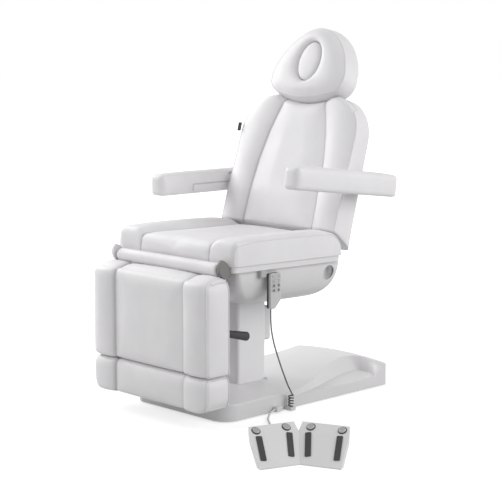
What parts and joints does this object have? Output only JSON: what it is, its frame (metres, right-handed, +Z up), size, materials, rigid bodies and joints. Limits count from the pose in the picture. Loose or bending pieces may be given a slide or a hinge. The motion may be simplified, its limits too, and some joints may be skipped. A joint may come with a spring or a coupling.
{
  "type": "electric facial bed",
  "caption": "Padded treatment chair on a powered lifting column, with reclining back, headrest with face opening, armrests, leg rest, hand control and foot control.",
  "frame": {"origin": "on the floor, under the middle of the moulded base", "axes": "+X to the sitter's left, -Y towards the foot end, +Z up"},
  "size_m": [1.2629, 1.1375, 1.3397],
  "materials": {
    "upholstery": "satin",
    "white_moulding": "satin",
    "white_paint": "satin",
    "frame_paint": "satin",
    "steel": "brushed",
    "silver": "polished",
    "black_rubber": "matte",
    "dark_plastic": "matte",
    "cap_grey": "satin",
    "control_grey": "satin",
    "key_dark": "satin",
    "tab_fabric": "matte",
    "board": "covered",
    "cord_dark": "matte",
    "cord_white": "matte"
  },
  "bodies": {
    "base": {"base_frame": "frame_paint", "base_front_cover": "white_moulding", "base_rear_cover": "white_moulding", "levelling_feet": "black_rubber", "outer_column": "white_paint", "lift_motor": "dark_plastic", "lift_spindle": "steel", "cord_glands": "cord_white", "foot_control_case": "white_moulding", "foot_control_strips": "black_rubber", "foot_cord": "cord_white", "hand_cord": "cord_dark", "hand_cord_curl": "cord_dark"},
    "mast": {"inner_column": "white_paint", "mast_head": "frame_paint", "lift_nut_tube": "steel", "tilt_motor": "white_moulding"},
    "tilt_rod": {"tilt_rod": "steel"},
    "seat": {"seat_frame": "frame_paint", "hinge_pins": "steel", "seat_pan": "white_moulding", "seat_cushion": "upholstery", "under_seat_shell": "white_moulding", "control_box": "dark_plastic", "hand_control_hook": "dark_plastic", "hand_control_case": "control_grey", "front_roll": "upholstery", "roll_end_caps": "cap_grey"},
    "leg_motor": {"leg_motor": "dark_plastic"},
    "leg_rod": {"leg_rod": "steel"},
    "back_motor": {"back_motor": "dark_plastic"},
    "back_rod": {"back_rod": "steel"},
    "back": {"back_frame": "frame_paint", "back_cushion": "upholstery", "back_board": "board", "back_tab": "tab_fabric"},
    "leg": {"leg_frame": "frame_paint", "leg_cushion": "upholstery"},
    "foot": {"foot_frame": "frame_paint", "foot_cushion": "upholstery"},
    "lever": {"release_lever": "steel", "lever_grip": "black_rubber"},
    "arm_left": {"arm_pad_left": "upholstery", "arm_bracket_left": "frame_paint"},
    "arm_right": {"arm_pad_right": "upholstery", "arm_bracket_right": "frame_paint"},
    "head_posts": {"head_posts": "steel"},
    "head": {"head_board": "frame_paint", "headrest_cushion": "upholstery"},
    "plug": {"face_plug": "upholstery"},
    "key_1": {"hand_key_1": "control_grey"},
    "button_1": {"foot_button_1": "silver"},
    "key_2": {"hand_key_2": "control_grey"},
    "button_2": {"foot_button_2": "silver"},
    "key_3": {"hand_key_3": "key_dark"},
    "button_3": {"foot_button_3": "silver"},
    "key_4": {"hand_key_4": "key_dark"},
    "button_4": {"foot_button_4": "silver"}
  },
  "joints": [
    {"name": "lift", "type": "slide", "parent": "base", "child": "mast", "axis": [0, 0, 1], "range_m": [0, 0.28], "deforming": ["hand_cord", "hand_cord_curl"]},
    {"name": "tilt", "type": "hinge", "parent": "mast", "child": "seat", "pos_m": [0, -0.1375, 0.512], "axis": [-1, 0, 0], "range_deg": [0, 12], "deforming": ["hand_cord", "hand_cord_curl"]},
    {"name": "tilt_rod_slide", "type": "slide", "parent": "mast", "child": "tilt_rod", "axis": [0, 0, 1], "range_m": [-0.0213, 0]},
    {"name": "recline", "type": "hinge", "parent": "seat", "child": "back", "pos_m": [0, 0.112, 0.556], "axis": [-1, 0, 0], "range_deg": [0, 72]},
    {"name": "leg_lift", "type": "hinge", "parent": "seat", "child": "leg", "pos_m": [0, -0.458, 0.537], "axis": [-1, 0, 0], "range_deg": [0, 85]},
    {"name": "leg_motor_swing", "type": "hinge", "parent": "seat", "child": "leg_motor", "pos_m": [0.12, -0.17, 0.46], "axis": [-1, 0, 0], "range_deg": [-0.5, 9.62]},
    {"name": "leg_rod_slide", "type": "slide", "parent": "leg_motor", "child": "leg_rod", "axis": [0, -0.9975, -0.0704], "range_m": [-0.001, 0.1271]},
    {"name": "back_motor_swing", "type": "hinge", "parent": "seat", "child": "back_motor", "pos_m": [-0.12, -0.17, 0.46], "axis": [-1, 0, 0], "range_deg": [-0.5, 2.89]},
    {"name": "back_rod_slide", "type": "slide", "parent": "back_motor", "child": "back_rod", "axis": [0, 0.9855, 0.1696], "range_m": [-0.0779, 0.001]},
    {"name": "foot_extension", "type": "slide", "parent": "leg", "child": "foot", "axis": [0, 0, -1], "range_m": [0, 0.15]},
    {"name": "release_lever", "type": "hinge", "parent": "leg", "child": "lever", "pos_m": [0.23, -0.436, 0.318], "axis": [1, 0, 0], "range_deg": [0, 15], "stiffness_Nm_per_rad": 3, "springref_deg": -17.19},
    {"name": "arm_left_swing", "type": "hinge", "parent": "back", "child": "arm_left", "pos_m": [0.3095, 0.203, 0.771], "axis": [-1, 0, 0], "range_deg": [-72, 0]},
    {"name": "arm_right_swing", "type": "hinge", "parent": "back", "child": "arm_right", "pos_m": [-0.3095, 0.203, 0.771], "axis": [-1, 0, 0], "range_deg": [-72, 0]},
    {"name": "head_slide", "type": "slide", "parent": "back", "child": "head_posts", "axis": [0, 0.2588, 0.9659], "range_m": [0, 0.08]},
    {"name": "head_tilt", "type": "hinge", "parent": "head_posts", "child": "head", "pos_m": [0, 0.32113, 1.10761], "axis": [-1, 0, 0], "range_deg": [0, 35]},
    {"name": "plug_pull", "type": "slide", "parent": "head", "child": "plug", "axis": [0, -0.9205, 0.3907], "range_m": [0, 0.11]},
    {"name": "key_1_rock", "type": "hinge", "parent": "seat", "child": "key_1", "pos_m": [0.31, -0.249, 0.5], "axis": [0, 0, 1], "range_deg": [-4, 4], "stiffness_Nm_per_rad": 0.2},
    {"name": "key_2_rock", "type": "hinge", "parent": "seat", "child": "key_2", "pos_m": [0.31, -0.249, 0.484], "axis": [0, 0, 1], "range_deg": [-4, 4], "stiffness_Nm_per_rad": 0.2},
    {"name": "key_3_rock", "type": "hinge", "parent": "seat", "child": "key_3", "pos_m": [0.31, -0.249, 0.468], "axis": [0, 0, 1], "range_deg": [-4, 4], "stiffness_Nm_per_rad": 0.2},
    {"name": "key_4_rock", "type": "hinge", "parent": "seat", "child": "key_4", "pos_m": [0.31, -0.249, 0.452], "axis": [0, 0, 1], "range_deg": [-4, 4], "stiffness_Nm_per_rad": 0.2},
    {"name": "button_1_press", "type": "slide", "parent": "base", "child": "button_1", "axis": [-0.5828, 0.1984, -0.788], "range_m": [0, 0.004], "stiffness_N_per_m": 600},
    {"name": "button_2_press", "type": "slide", "parent": "base", "child": "button_2", "axis": [-0.5828, 0.1984, -0.788], "range_m": [0, 0.004], "stiffness_N_per_m": 600},
    {"name": "button_3_press", "type": "slide", "parent": "base", "child": "button_3", "axis": [-0.2326, 0.57, -0.788], "range_m": [0, 0.004], "stiffness_N_per_m": 600},
    {"name": "button_4_press", "type": "slide", "parent": "base", "child": "button_4", "axis": [-0.2326, 0.57, -0.788], "range_m": [0, 0.004], "stiffness_N_per_m": 600}
  ],
  "couplings": [
    {"joint": "tilt_rod_slide", "follows": "tilt", "m_per_rad": -0.099928},
    {"joint": "leg_motor_swing", "follows": "leg_lift", "ratio": 0.11094},
    {"joint": "leg_rod_slide", "follows": "leg_lift", "m_per_rad": 0.084808},
    {"joint": "back_motor_swing", "follows": "recline", "ratio": 0.039378},
    {"joint": "back_rod_slide", "follows": "recline", "m_per_rad": -0.061405},
    {"joint": "arm_left_swing", "follows": "recline", "ratio": -1},
    {"joint": "arm_right_swing", "follows": "recline", "ratio": -1}
  ]
}
